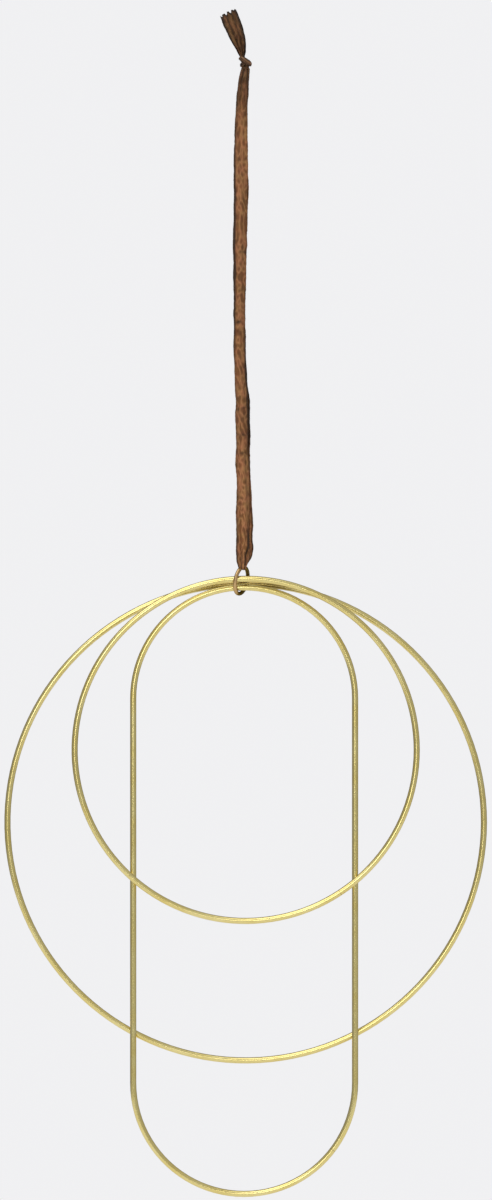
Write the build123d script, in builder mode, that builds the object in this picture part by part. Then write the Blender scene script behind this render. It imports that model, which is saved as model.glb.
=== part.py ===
from build123d import *
import math
import os

# A hanging ornament: three closed hoops of round brass wire in one jump ring, on a doubled ribbon.
# Lengths are in millimetres and angles in degrees. +Z is up and the front faces -Y.
# The origin is where a hook bears: between the ribbon's two legs, on the knot's underside.
os.makedirs("parts", exist_ok=True)

# The hoops: one wire, three outlines, all measured over the wire
wire_diameter = 3.2
large_hoop_diameter = 250.0
small_hoop_diameter = 180.0
capsule_outside_width = 118.0
capsule_outside_height = 317.0
capsule_sideways = -0.8
hoop_gap = 0.15

# The jump ring, turned about the vertical so that its front lies to the left, with its foot leaning left
ring_wire = 2.0
ring_turn = 26.0
ring_lean = 12.0
ring_sideways = -0.8
ring_back_shift = 0.2
ring_split = 0.2
ring_split_angle = 35.0
seat_gap = 0.15
small_hoop_lift = 0.8
capsule_hoop_lift = 0.5
large_hoop_lift = 0.4

# The ribbon: two legs, and the gathered bight round the ring
ribbon_width = 10.0
ribbon_thickness = 0.4
ribbon_drop = 257.4
bight_height = 13.4
bight_width = 2.6
bight_thickness = 1.0
bight_clearance = 0.3
bight_crown = 0.1
twist_gap = 0.3

# The knot and its two tails
knot_height = 7.0
knot_width = 6.4
knot_foot = 5.2
knot_neck = 4.0
knot_sideways = -0.3
knot_wrap = 2.2
knot_wrap_proud = 0.45
knot_wrap_lean = 32.0
tail_gap = 0.4
front_tail_length = 23.6
back_tail_length = 24.8
front_tail_lean = 23.5
back_tail_lean = 20.5
tail_sideways = -0.9

# One leg's stations: the share of the leg's length down from the knot, then shares of the ribbon's
# width for the place sideways, the place to the front, the chord and the cup, and the turn in degrees.
# The first few stations, bow_stations of them, are the bow beside the hook's eye.
bow_stations = 5
front_leg_shares = [
    (0.000, -0.02, 0.06, 0.41, 0.02, 0.0),
    (0.008, -0.04, 0.29, 0.43, 0.02, 0.0),
    (0.019, -0.06, 0.32, 0.45, 0.02, 0.0),
    (0.031, -0.10, 0.27, 0.49, 0.03, 0.0),
    (0.070, -0.17, 0.11, 0.54, 0.05, 0.0),
    (0.160, -0.23, 0.08, 0.63, 0.07, -3.0),
    (0.260, -0.25, 0.08, 0.70, 0.09, 2.0),
    (0.370, -0.29, 0.08, 0.68, 0.09, 4.0),
    (0.500, -0.32, 0.08, 0.60, 0.11, -4.0),
    (0.620, -0.30, 0.08, 0.60, 0.11, -6.0),
    (0.720, -0.19, 0.09, 0.65, 0.09, 4.0),
    (0.820, -0.17, 0.09, 0.63, 0.09, 6.0),
    (0.920, -0.14, 0.10, 0.67, 0.07, 10.0),
    (1.000, -0.14, 0.12, 0.67, 0.06, 14.0),
]
back_leg_shares = [
    (0.000, -0.02, -0.06, 0.41, 0.02, 0.0),
    (0.008, -0.04, -0.29, 0.43, 0.02, 0.0),
    (0.019, -0.06, -0.32, 0.45, 0.02, 0.0),
    (0.031, -0.11, -0.27, 0.50, 0.03, 0.0),
    (0.070, -0.20, -0.11, 0.54, 0.05, 0.0),
    (0.160, -0.24, -0.06, 0.67, 0.07, -3.0),
    (0.260, -0.23, -0.04, 0.72, 0.09, 2.0),
    (0.370, -0.30, -0.04, 0.70, 0.09, 4.0),
    (0.500, -0.32, -0.04, 0.61, 0.11, -4.0),
    (0.620, -0.27, -0.04, 0.61, 0.11, -6.0),
    (0.740, -0.09, -0.05, 0.65, 0.09, 4.0),
    (0.830, -0.09, -0.06, 0.63, 0.09, 6.0),
    (0.915, 0.00, -0.07, 0.67, 0.07, 10.0),
    (1.000, 0.04, -0.11, 0.68, 0.06, 14.0),
]
# The bight's two flares, which gather the legs' ends in beside the ring: rows as above
front_flare_shares = [(0.45, -0.11, 0.10, 0.61, 0.06, 18.0), (0.78, -0.04, 0.08, 0.41, 0.05, 34.0)]
back_flare_shares = [(0.45, 0.02, -0.11, 0.61, 0.06, 18.0), (0.78, -0.13, -0.11, 0.40, 0.05, 34.0)]

# A tail's outline: shares of the ribbon's width across and of the tail's length up. It is gathered at
# the knot and flat from about a third of the way up, and its end is cut aslant in small teeth.
tail_neck_share = 0.18
tail_side_shares = (0.32, 0.26)
tail_shoulder_shares = (0.40, 0.56)
tooth_shares = [
    (-0.42, 0.920),
    (-0.24, 0.900),
    (-0.18, 0.955),
    (0.02, 0.925),
    (0.09, 0.985),
    (0.25, 0.950),
    (0.41, 1.000),
]
tail_root_share = 0.18
tail_bow_share = 0.05
tail_half_bow_share = 0.25

# Worked out from the sizes above
wire_radius = wire_diameter / 2
hoop_pitch = wire_diameter + hoop_gap
seat_distance = wire_radius + ring_wire / 2 + seat_gap
turn_cos = math.cos(math.radians(ring_turn))
turn_sin = math.sin(math.radians(ring_turn))
lean_cos = math.cos(math.radians(ring_lean))
lean_sin = math.sin(math.radians(ring_lean))
ring_radius = (hoop_pitch + ring_back_shift + seat_distance) / turn_cos
ring_top = -ribbon_drop
ring_centre = ring_top - ring_radius * lean_cos
ring_across = ring_sideways - ring_radius * lean_sin
half_way_deep = ring_radius * turn_cos - seat_distance
half_way_down = ring_radius * lean_cos - seat_distance
lean_slope = lean_sin * turn_sin / turn_cos
leg_length = ribbon_drop - bight_height
bight_top = -leg_length - twist_gap
bight_inner = ring_wire / 2 + bight_clearance
bight_middle = bight_inner + bight_thickness / 2
bight_outer = bight_inner + bight_thickness
bight_shoulder = ring_top + bight_inner


def crown_height(off_centre):
    """Height of a wire that lies in the ring, this far to the front or back of the ring's middle."""
    share = off_centre / half_way_deep
    return ring_centre - half_way_down * math.sqrt(1 - share * share) - lean_slope * off_centre


def round_hoop(diameter, depth, crown):
    """A closed round hoop, with its crown's wire at a height and its plane at a depth."""
    radius = (diameter - wire_diameter) / 2
    middle = (0, depth, crown - radius)
    with BuildPart() as hoop:
        with BuildSketch(Plane(middle)):
            with Locations((radius, 0)):
                Circle(wire_radius)
        revolve(axis=Axis(middle, (0, 1, 0)))
    return hoop


def strip_section(height, across, forward, chord, cup, turn, thickness):
    """The ribbon's cross-section at one height: two arcs that are a thickness apart."""
    x_dir = (math.cos(math.radians(turn)), math.sin(math.radians(turn)), 0)
    side = chord / 2
    front = -thickness / 2
    back = thickness / 2
    with BuildSketch(Plane((across, -forward, height), x_dir=x_dir, z_dir=(0, 0, 1))) as section:
        with BuildLine():
            ThreePointArc((-side, front), (0, front - cup), (side, front))
            Line((side, front), (side, back))
            ThreePointArc((side, back), (0, back - cup), (-side, back))
            Line((-side, back), (-side, front))
        make_face()
    return section.sketch


def station(height, shares, thickness):
    """A section at a height, its other sizes given as shares of the ribbon's width."""
    across, forward, chord, cup = [share * ribbon_width for share in shares[:4]]
    return strip_section(height, across, forward, chord, cup, shares[4], thickness)


def ribbon_run(run_shares):
    """A stretch of one leg, lofted through its stations."""
    with BuildPart() as run:
        loft(sections=[station(-leg_length * row[0], row[1:], ribbon_thickness) for row in run_shares])
    return run


def flare(leg_shares, flare_shares, side):
    """The sections of one flare, from the leg's end to the straight part beside the ring's wire."""
    sections = [station(bight_top, leg_shares[-1][1:], ribbon_thickness)]
    for row in flare_shares:
        thickness = ribbon_thickness + (bight_thickness - ribbon_thickness) * row[0] ** 2
        height = bight_top - (bight_top - bight_shoulder) * row[0]
        sections.append(station(height, row[1:], thickness))
    out = side * bight_middle
    across = ring_sideways + out * turn_cos
    forward = out * turn_sin - ring_back_shift
    gathered = (bight_shoulder, across, forward, bight_width, side * bight_crown)
    sections.append(strip_section(*gathered, 90 - ring_turn, bight_thickness))
    return sections


def ribbon_tail(length, lean, depth, side):
    """A tail: its outline from the front, held to a thin sheet that bows to the back, or front if -1."""
    tail_cos = math.cos(math.radians(lean))
    tail_sin = math.sin(math.radians(lean))
    root = (tail_sideways, depth, knot_height)
    neck = tail_neck_share * ribbon_width
    waist = (tail_side_shares[0] * ribbon_width, tail_side_shares[1] * length)
    shoulder = (tail_shoulder_shares[0] * ribbon_width, tail_shoulder_shares[1] * length)
    foot = -tail_root_share * ribbon_width
    teeth = [(across * ribbon_width, up * length) for across, up in tooth_shares]
    bow = side * tail_bow_share * length
    half_bow = tail_half_bow_share * bow
    back = ribbon_thickness
    with BuildPart() as blade:
        with BuildSketch(Plane(root, x_dir=(tail_cos, 0, tail_sin), z_dir=(0, -1, 0))):
            with BuildLine():
                Polyline((-neck, 0), (-neck, foot), (neck, foot), (neck, 0))
                Spline((neck, 0), waist, shoulder, teeth[-1])
                Polyline(*reversed(teeth))
                Spline(teeth[0], (-shoulder[0], shoulder[1]), (-waist[0], waist[1]), (-neck, 0))
            make_face()
        extrude(amount=length, both=True)
        with BuildSketch(Plane(root, x_dir=(0, 1, 0), z_dir=(tail_cos, 0, tail_sin))):
            with BuildLine():
                Line((0, foot), (0, 0))
                ThreePointArc((0, 0), (half_bow, length / 2), (bow, length))
                Line((bow, length), (bow + back, length))
                ThreePointArc((bow + back, length), (half_bow + back, length / 2), (back, 0))
                Line((back, 0), (back, foot))
                Line((back, foot), (0, foot))
            make_face()
        extrude(amount=ribbon_width, both=True, mode=Mode.INTERSECT)
        split(bisect_by=Plane.XY.offset(knot_height), keep=Keep.TOP)
    return blade


# Small hoop, in front, its crown against the ring's front
small_hoop = round_hoop(small_hoop_diameter, -hoop_pitch, ring_centre + small_hoop_lift)
small_hoop.part.label = "small_hoop"
export_step(small_hoop.part, "parts/small_hoop.step")

# Large hoop, at the back, its crown low on the ring's back
large_crown = crown_height(hoop_pitch - ring_back_shift) + large_hoop_lift
large_hoop = round_hoop(large_hoop_diameter, hoop_pitch, large_crown)
large_hoop.part.label = "large_hoop"
export_step(large_hoop.part, "parts/large_hoop.step")

# Capsule hoop, between them, hung on the ring's lowest point: two half circles and two straight runs
capsule_crown = crown_height(ring_back_shift) + capsule_hoop_lift
capsule_radius = (capsule_outside_width - wire_diameter) / 2
capsule_straight = capsule_outside_height - capsule_outside_width
capsule_plane = Plane((capsule_sideways, 0, capsule_crown), x_dir=(1, 0, 0), z_dir=(0, -1, 0))
with BuildPart() as capsule_hoop:
    with BuildLine(capsule_plane) as outline:
        upper = -capsule_radius
        lower = upper - capsule_straight
        ThreePointArc((-capsule_radius, upper), (0, 0), (capsule_radius, upper))
        Line((capsule_radius, upper), (capsule_radius, lower))
        ThreePointArc((capsule_radius, lower), (0, lower - capsule_radius), (-capsule_radius, lower))
        Line((-capsule_radius, lower), (-capsule_radius, upper))
    with BuildSketch(outline.line ^ 0):
        Circle(wire_radius)
    sweep(path=outline.line)
capsule_hoop.part.label = "capsule_hoop"
export_step(capsule_hoop.part, "parts/capsule_hoop.step")

# Jump ring: round wire bent to a circle, its butted ends a hair apart behind the hoops
open_angle = math.degrees(ring_split / ring_radius)
ring_plane = Plane(
    (ring_across, ring_back_shift, ring_centre),
    x_dir=(turn_sin * lean_cos, turn_cos, -turn_sin * lean_sin),
    z_dir=(turn_cos * lean_cos, -turn_sin, -turn_cos * lean_sin),
)
with BuildPart() as jump_ring:
    with BuildLine(ring_plane) as bend:
        CenterArc((0, 0), ring_radius, ring_split_angle + open_angle / 2, 360 - open_angle)
    with BuildSketch(bend.line ^ 0):
        Circle(ring_wire / 2)
    sweep(path=bend.line)
jump_ring.part.label = "jump_ring"
export_step(jump_ring.part, "parts/jump_ring.step")

# Bight: the ribbon gathered to a narrow strip that passes under the ring's top
with BuildPart() as ribbon_bight:
    loft(sections=flare(front_leg_shares, front_flare_shares, 1))
    loft(sections=flare(back_leg_shares, back_flare_shares, -1))
    ring_top_plane = Plane(
        (ring_sideways, ring_back_shift, ring_top),
        x_dir=(turn_cos, -turn_sin, 0),
        z_dir=(-turn_sin, -turn_cos, 0),
    )
    with BuildSketch(ring_top_plane):
        with BuildLine():
            Line((-bight_outer, bight_inner), (-bight_outer, 0))
            ThreePointArc((-bight_outer, 0), (0, -bight_outer), (bight_outer, 0))
            Line((bight_outer, 0), (bight_outer, bight_inner))
            Line((bight_outer, bight_inner), (bight_inner, bight_inner))
            Line((bight_inner, bight_inner), (bight_inner, 0))
            ThreePointArc((bight_inner, 0), (0, -bight_inner), (-bight_inner, 0))
            Line((-bight_inner, 0), (-bight_inner, bight_inner))
            Line((-bight_inner, bight_inner), (-bight_outer, bight_inner))
        make_face()
    extrude(amount=bight_width / 2, both=True)
ribbon_bight.part.label = "ribbon_bight"
export_step(ribbon_bight.part, "parts/ribbon_bight.step")

# Legs: the doubled ribbon below the eye
ribbon_front_leg = ribbon_run(front_leg_shares[bow_stations - 1:])
ribbon_front_leg.part.label = "ribbon_front_leg"
export_step(ribbon_front_leg.part, "parts/ribbon_front_leg.step")

ribbon_back_leg = ribbon_run(back_leg_shares[bow_stations - 1:])
ribbon_back_leg.part.label = "ribbon_back_leg"
export_step(ribbon_back_leg.part, "parts/ribbon_back_leg.step")

# Bows: the legs' tops, which part under the knot and leave the eye for the hook
ribbon_front_bow = ribbon_run(front_leg_shares[:bow_stations])
ribbon_front_bow.part.label = "ribbon_front_bow"
export_step(ribbon_front_bow.part, "parts/ribbon_front_bow.step")

ribbon_back_bow = ribbon_run(back_leg_shares[:bow_stations])
ribbon_back_bow.part.label = "ribbon_back_bow"
export_step(ribbon_back_bow.part, "parts/ribbon_back_bow.step")

# Knot: a round body with one turn of the ribbon wrapped aslant round it
with BuildPart() as ribbon_knot:
    body_width = knot_width - 2 * knot_wrap_proud
    with BuildSketch(Plane((knot_sideways, 0, 0), x_dir=(1, 0, 0), z_dir=(0, -1, 0))):
        with BuildLine():
            Line((0, 0), (knot_foot / 2, 0))
            ThreePointArc(
                (knot_foot / 2, 0),
                (body_width / 2, knot_height / 2),
                (knot_neck / 2, knot_height),
            )
            Line((knot_neck / 2, knot_height), (0, knot_height))
            Line((0, knot_height), (0, 0))
        make_face()
    revolve(axis=Axis((knot_sideways, 0, 0), (0, 0, 1)))
    wrap_cos = math.cos(math.radians(knot_wrap_lean))
    wrap_sin = math.sin(math.radians(knot_wrap_lean))
    knot_middle = (knot_sideways, 0, knot_height / 2)
    with BuildSketch(Plane(knot_middle, x_dir=(wrap_cos, 0, -wrap_sin), z_dir=(0, -1, 0))):
        with Locations(((knot_width - knot_wrap) / 2, 0)):
            Circle(knot_wrap / 2)
    revolve(axis=Axis(knot_middle, (wrap_sin, 0, wrap_cos)))
ribbon_knot.part.label = "ribbon_knot"
export_step(ribbon_knot.part, "parts/ribbon_knot.step")

# Tails: the ribbon's two ends, which stand up from the knot and fan a little
front_tail_depth = -tail_gap / 2 - ribbon_thickness
ribbon_front_tail = ribbon_tail(front_tail_length, front_tail_lean, front_tail_depth, -1)
ribbon_front_tail.part.label = "ribbon_front_tail"
export_step(ribbon_front_tail.part, "parts/ribbon_front_tail.step")

ribbon_back_tail = ribbon_tail(back_tail_length, back_tail_lean, tail_gap / 2, 1)
ribbon_back_tail.part.label = "ribbon_back_tail"
export_step(ribbon_back_tail.part, "parts/ribbon_back_tail.step")

print("ring radius", round(ring_radius, 2))
print("crowns", round(ring_centre + small_hoop_lift, 2), round(capsule_crown, 2), round(large_crown, 2))
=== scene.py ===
import math

import bpy
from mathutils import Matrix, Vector, noise


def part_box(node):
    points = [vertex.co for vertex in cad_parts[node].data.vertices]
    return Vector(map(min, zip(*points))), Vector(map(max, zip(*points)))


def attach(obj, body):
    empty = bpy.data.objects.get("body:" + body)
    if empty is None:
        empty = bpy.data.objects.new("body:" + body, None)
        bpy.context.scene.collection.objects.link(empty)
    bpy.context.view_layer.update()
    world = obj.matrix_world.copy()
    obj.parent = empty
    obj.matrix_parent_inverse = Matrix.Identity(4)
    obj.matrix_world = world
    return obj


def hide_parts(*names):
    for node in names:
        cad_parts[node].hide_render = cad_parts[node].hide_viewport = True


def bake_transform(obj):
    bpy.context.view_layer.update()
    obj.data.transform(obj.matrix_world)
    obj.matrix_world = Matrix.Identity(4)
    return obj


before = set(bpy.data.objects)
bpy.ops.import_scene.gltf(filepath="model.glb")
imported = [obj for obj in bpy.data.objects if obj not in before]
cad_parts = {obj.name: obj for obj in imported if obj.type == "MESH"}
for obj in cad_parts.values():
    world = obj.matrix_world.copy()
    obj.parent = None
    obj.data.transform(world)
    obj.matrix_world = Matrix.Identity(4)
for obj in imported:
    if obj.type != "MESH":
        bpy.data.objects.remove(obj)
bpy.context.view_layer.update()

# Lengths in the settings are millimetres and angles are degrees. mm turns a length into metres.
mm = 0.001


# the camera stands straight in front and far off, as the photo's did
view = {
    "aimX": 0.16,             # the photo's middle, in the part's own frame
    "aimZ": -274.4,
    "tall": 620.8,            # what the photo covers from top to bottom
    "distance": 3000.0,
    "sensor": 36.0,
}


def addCamera():
    cameraData = bpy.data.cameras.new("camera")
    cameraData.sensor_width = view["sensor"]
    cameraData.lens = view["sensor"] * view["distance"] / view["tall"]
    camera = bpy.data.objects.new("camera", cameraData)
    bpy.context.collection.objects.link(camera)
    camera.location = (view["aimX"] * mm, -view["distance"] * mm, view["aimZ"] * mm)
    camera.rotation_euler = (math.radians(90), 0, 0)
    bpy.context.scene.camera = camera


addCamera()
print("camera placed")


# small helpers for shader trees
def newTree(owner):
    owner.use_nodes = True
    tree = owner.node_tree
    tree.nodes.clear()
    return tree


def addNode(tree, kind, **settings):
    node = tree.nodes.new(kind)
    for name, value in settings.items():
        setattr(node, name, value)
    return node


def fillInputs(tree, node, values):
    # a value is another node's socket, a colour as a tuple, or a plain number or vector
    for name, value in values.items():
        socket = node.inputs[name]
        if isinstance(value, bpy.types.NodeSocket):
            tree.links.new(value, socket)
        elif isinstance(value, tuple):
            socket.default_value = (*value, 1)
        else:
            socket.default_value = value
    return node


def mathNode(tree, operation, *values, clamp=False):
    node = addNode(tree, "ShaderNodeMath", operation=operation, use_clamp=clamp)
    return fillInputs(tree, node, dict(enumerate(values))).outputs[0]


def vectorNode(tree, operation, *values, **named):
    node = addNode(tree, "ShaderNodeVectorMath", operation=operation)
    fillInputs(tree, node, {**dict(enumerate(values)), **named})
    return node.outputs["Value" if operation in ("DOT_PRODUCT", "LENGTH") else "Vector"]


def joinNode(tree, *values):
    return fillInputs(tree, addNode(tree, "ShaderNodeCombineXYZ"), dict(enumerate(values))).outputs[0]


def splitNode(tree, vector):
    return fillInputs(tree, addNode(tree, "ShaderNodeSeparateXYZ"), {0: vector}).outputs


def placeNode(tree, kind="Object"):
    return addNode(tree, "ShaderNodeTexCoord").outputs[kind]


def rampNode(tree, factor, stops):
    # each stop is a place and a grey value or a colour
    node = addNode(tree, "ShaderNodeValToRGB")
    band = node.color_ramp
    while len(band.elements) < len(stops):
        band.elements.new(1.0)
    for element, (place, shade) in zip(band.elements, stops):
        element.position = place
        element.color = (*shade, 1) if isinstance(shade, tuple) else (shade, shade, shade, 1)
    return fillInputs(tree, node, {"Fac": factor}).outputs["Color"]


def noiseNode(tree, vector, scale, detail=2.0, roughness=0.5):
    node = addNode(tree, "ShaderNodeTexNoise")
    values = {"Vector": vector, "Scale": scale, "Detail": detail, "Roughness": roughness}
    return fillInputs(tree, node, values).outputs["Fac"]


def mixColour(tree, factor, first, second, blend="MIX"):
    node = addNode(tree, "ShaderNodeMix", data_type="RGBA", blend_type=blend)
    return fillInputs(tree, node, {0: factor, 6: first, 7: second}).outputs[2]


def layOver(tree, colour, mask, share, shade):
    # lays a shade over a colour where the mask is, as strongly as its share says
    return mixColour(tree, mathNode(tree, "MULTIPLY", mask, share), colour, shade)


def bumpNode(tree, strength, distance, **sockets):
    # the sockets are the Height that it lifts and, where it lies over another bump, that one's Normal
    values = {"Strength": strength, "Distance": distance * mm, **sockets}
    return fillInputs(tree, addNode(tree, "ShaderNodeBump"), values).outputs[0]


def addSurface(tree, values):
    surface = fillInputs(tree, addNode(tree, "ShaderNodeBsdfPrincipled"), values)
    fillInputs(tree, addNode(tree, "ShaderNodeOutputMaterial"), {"Surface": surface.outputs[0]})


def newGroup(name, inputs, outputs):
    # inputs are names with their usual value, or None for a vector; outputs are names of plain values
    group = bpy.data.node_groups.new(name, "ShaderNodeTree")
    for socketName, usual in inputs.items():
        kind = "NodeSocketVector" if usual is None else "NodeSocketFloat"
        socket = group.interface.new_socket(name=socketName, in_out="INPUT", socket_type=kind)
        if usual is not None:
            socket.default_value = usual
    for socketName in outputs:
        group.interface.new_socket(name=socketName, in_out="OUTPUT", socket_type="NodeSocketFloat")
    return group, group.nodes.new("NodeGroupInput").outputs, group.nodes.new("NodeGroupOutput")


def placeGroup(tree, group, values):
    return fillInputs(tree, addNode(tree, "ShaderNodeGroup", node_tree=group), values)


# the studio: a pale lit floor, a soft light above and one in front
studio = {
    "wall": (0.875, 0.875, 0.889),    # the background, where the camera sees it
    # what the metal mirrors, from one end of each axis to the other: brightest below, darker at the
    # height of the piece, behind it and at the left
    "mirrored": {
        "Z": [(0.00, 0.92), (0.20, 0.80), (0.42, 0.45), (0.58, 0.43), (0.80, 0.52), (1.00, 0.60)],
        "Y": [(0.00, 1.0), (0.50, 0.95), (0.72, 0.72), (0.95, 0.62)],
        "X": [(0.00, 0.80), (0.50, 0.98), (1.00, 1.10)],
    },
    "floorDrop": 760.0,
    "floorSize": 2300.0,
    "floorTone": (0.80, 0.80, 0.80),
    "floorRough": 0.8,
    "floorGlow": 0.32,                # where the metal mirrors it
    "floorGlowSeen": 0.24,            # where the camera sees it
    "lightsAim": (0, 0, -300.0),
    # each soft light's place, size and power
    "softAbove": ((-500.0, -500.0, 1100.0), 1400.0, 10.0),
    "softFront": ((-400.0, -2600.0, 100.0), 900.0, 9.0),
}


def addWorld():
    world = bpy.data.worlds.new("studioWorld")
    bpy.context.scene.world = world
    tree = newTree(world)
    towards = splitNode(tree, placeNode(tree, "Generated"))
    shade = (1.0, 1.0, 1.0)
    for axis, stops in studio["mirrored"].items():
        share = mathNode(tree, "MULTIPLY_ADD", towards[axis], 0.5, 0.5)
        shade = mixColour(tree, 1.0, shade, rampNode(tree, share, stops), "MULTIPLY")
    room = fillInputs(tree, addNode(tree, "ShaderNodeBackground"), {"Color": shade})
    seen = fillInputs(tree, addNode(tree, "ShaderNodeBackground"), {"Color": studio["wall"]})
    rays = addNode(tree, "ShaderNodeLightPath")
    mix = addNode(tree, "ShaderNodeMixShader")
    fillInputs(tree, mix, {"Fac": rays.outputs["Is Camera Ray"], 1: room.outputs[0], 2: seen.outputs[0]})
    fillInputs(tree, addNode(tree, "ShaderNodeOutputWorld"), {"Surface": mix.outputs[0]})


def addSoftLight(name):
    place, size, power = studio[name]
    light = bpy.data.lights.new(name, "AREA")
    light.size = size * mm
    light.energy = power
    lamp = bpy.data.objects.new(name, light)
    bpy.context.collection.objects.link(lamp)
    lamp.location = Vector(place) * mm
    aim = Vector(studio["lightsAim"]) - Vector(place)
    lamp.rotation_euler = aim.to_track_quat("-Z", "Y").to_euler()


def addFloor():
    half = studio["floorSize"] * mm / 2
    down = -studio["floorDrop"] * mm
    corners = [(-half, -half, down), (half, -half, down), (half, half, down), (-half, half, down)]
    mesh = bpy.data.meshes.new("floor")
    mesh.from_pydata(corners, [], [(0, 1, 2, 3)])
    floor = bpy.data.objects.new("floor", mesh)
    bpy.context.collection.objects.link(floor)
    paint = bpy.data.materials.new("paleFloor")
    tree = newTree(paint)
    # it glows a little less where it's seen than where the metal mirrors it
    cameraRay = addNode(tree, "ShaderNodeLightPath").outputs["Is Camera Ray"]
    glow, glowSeen = studio["floorGlow"], studio["floorGlowSeen"]
    addSurface(tree, {
        "Base Color": studio["floorTone"],
        "Roughness": studio["floorRough"],
        "Emission Color": (1, 1, 1),
        "Emission Strength": mathNode(tree, "MULTIPLY_ADD", cameraRay, glowSeen - glow, glow),
    })
    mesh.materials.append(paint)


addWorld()
addFloor()
addSoftLight("softAbove")
addSoftLight("softFront")
bpy.context.scene.view_settings.view_transform = "Standard"
print("studio lit")


# the fine lines that drawing leaves along a wire, on the hoops and on the ring
drawnLines = {
    "across": 6500.0,         # how often they change to the metre, across the wire
    "along": 60.0,            # and along it
    "lineNoise": (1.0, 3.0, 0.6),       # how often, its detail and its roughness
    "cloudNoise": (70.0, 3.0, 0.55),
    "stops": [(0.30, 0.0), (0.75, 1.0)],
    "height": 0.03,
}


def hoopShape(node):
    # middle, half the straight run and the bend's radius over the wire's middle line, in metres
    low, high = (Vector(corner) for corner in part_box(node))
    wire = high.y - low.y
    halfWide = (high.x - low.x - wire) / 2
    halfTall = (high.z - low.z - wire) / 2
    return (low + high) / 2, halfTall - halfWide, halfWide


def makeGrainGroup():
    # fine lines drawn along a wire: quick across it, slow along it
    inputs = {"Middle": None, "Half Run": 0.0, "Radius": 0.1, "Fineness": 1.0}
    group, given, made = newGroup("drawnGrain", inputs, ["Lines", "Clouds"])
    place = placeNode(group)
    offset = splitNode(group, vectorNode(group, "SUBTRACT", place, given["Middle"]))
    # how far the point lies from the wire's middle line, in the hoop's plane
    halfRun = given["Half Run"]
    lowest = mathNode(group, "MULTIPLY", halfRun, -1.0)
    onRun = mathNode(group, "MINIMUM", mathNode(group, "MAXIMUM", offset["Z"], lowest), halfRun)
    fromBend = joinNode(group, offset["X"], 0.0, mathNode(group, "SUBTRACT", offset["Z"], onRun))
    radial = mathNode(group, "SUBTRACT", vectorNode(group, "LENGTH", fromBend), given["Radius"])
    across = mathNode(group, "MULTIPLY", radial, drawnLines["across"])
    deep = mathNode(group, "MULTIPLY", offset["Y"], drawnLines["across"])
    driftX = mathNode(group, "MULTIPLY", offset["X"], drawnLines["along"])
    driftZ = mathNode(group, "MULTIPLY", offset["Z"], drawnLines["along"])
    joined = joinNode(
        group, mathNode(group, "ADD", across, driftX), mathNode(group, "ADD", deep, driftZ),
        mathNode(group, "SUBTRACT", driftX, driftZ),
    )
    scaled = vectorNode(group, "SCALE", joined, Scale=given["Fineness"])
    fillInputs(group, made, {
        "Lines": noiseNode(group, scaled, *drawnLines["lineNoise"]),
        "Clouds": noiseNode(group, place, *drawnLines["cloudNoise"]),
    })
    return group


grainGroup = makeGrainGroup()


def wireTones(tree, look, grain):
    # a wire's colour in cloudy patches, its drawn lines and how rough they leave it
    clouds = rampNode(tree, grain.outputs["Clouds"], look["clouds"])
    lines = rampNode(tree, grain.outputs["Lines"], drawnLines["stops"])
    colour = mixColour(tree, clouds, look["bright"], look["deep"])
    rough = mathNode(tree, "MULTIPLY_ADD", lines, look["rough"] - look["smooth"], look["smooth"])
    return colour, lines, rough


# brass wire: one look for the three hoops, each with its own seam
brass = {
    "bright": (0.81, 0.70, 0.30),
    "deep": (0.74, 0.595, 0.18),
    "clouds": [(0.32, 0.0), (0.68, 1.0)],
    "edge": (0.79, 0.63, 0.265),      # the tint of its mirror at the wire's edges
    "smooth": 0.21,
    "rough": 0.27,
    "grainShade": 0.18,
    "grainDepth": 0.05,
    "lacquer": 1.0,
    "lacquerRough": 0.22,
}
# where each hoop's ends were joined, as an angle up from its right-hand side, and the filed line there
seams = {
    "angles": {"small_hoop": -56.5, "large_hoop": -118.0, "capsule_hoop": -37.0},
    "colour": (0.34, 0.25, 0.10),
    "shade": 0.8,
    "width": 0.35,
    "reach": 4.0,                     # how far round its point a line can run
    "depth": 4.0,                     # in times the grain's
}
# painted shade round the crown of the back hoop, where the hoops in front of it shade it
crownShade = {
    "hoop": "large_hoop",
    "colour": (0.26, 0.18, 0.03),
    "strength": 0.85,
    "full": 16.0,                     # how far to each side it's at its full strength
    "gone": 32.0,
}


def makeSeamGroup():
    # a filed butt joint: a thin line round the wire at one point of the hoop
    group, given, made = newGroup("buttSeam", {"Point": None, "Along": None, "Width": 0.0003}, ["Mask"])
    offset = vectorNode(group, "SUBTRACT", placeNode(group), given["Point"])
    run = mathNode(group, "ABSOLUTE", vectorNode(group, "DOT_PRODUCT", offset, given["Along"]))
    line = mathNode(group, "SUBTRACT", 1.0, mathNode(group, "DIVIDE", run, given["Width"]), clamp=True)
    near = mathNode(group, "LESS_THAN", vectorNode(group, "LENGTH", offset), seams["reach"] * mm)
    fillInputs(group, made, {"Mask": mathNode(group, "MULTIPLY", line, near)})
    return group


seamGroup = makeSeamGroup()


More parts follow.
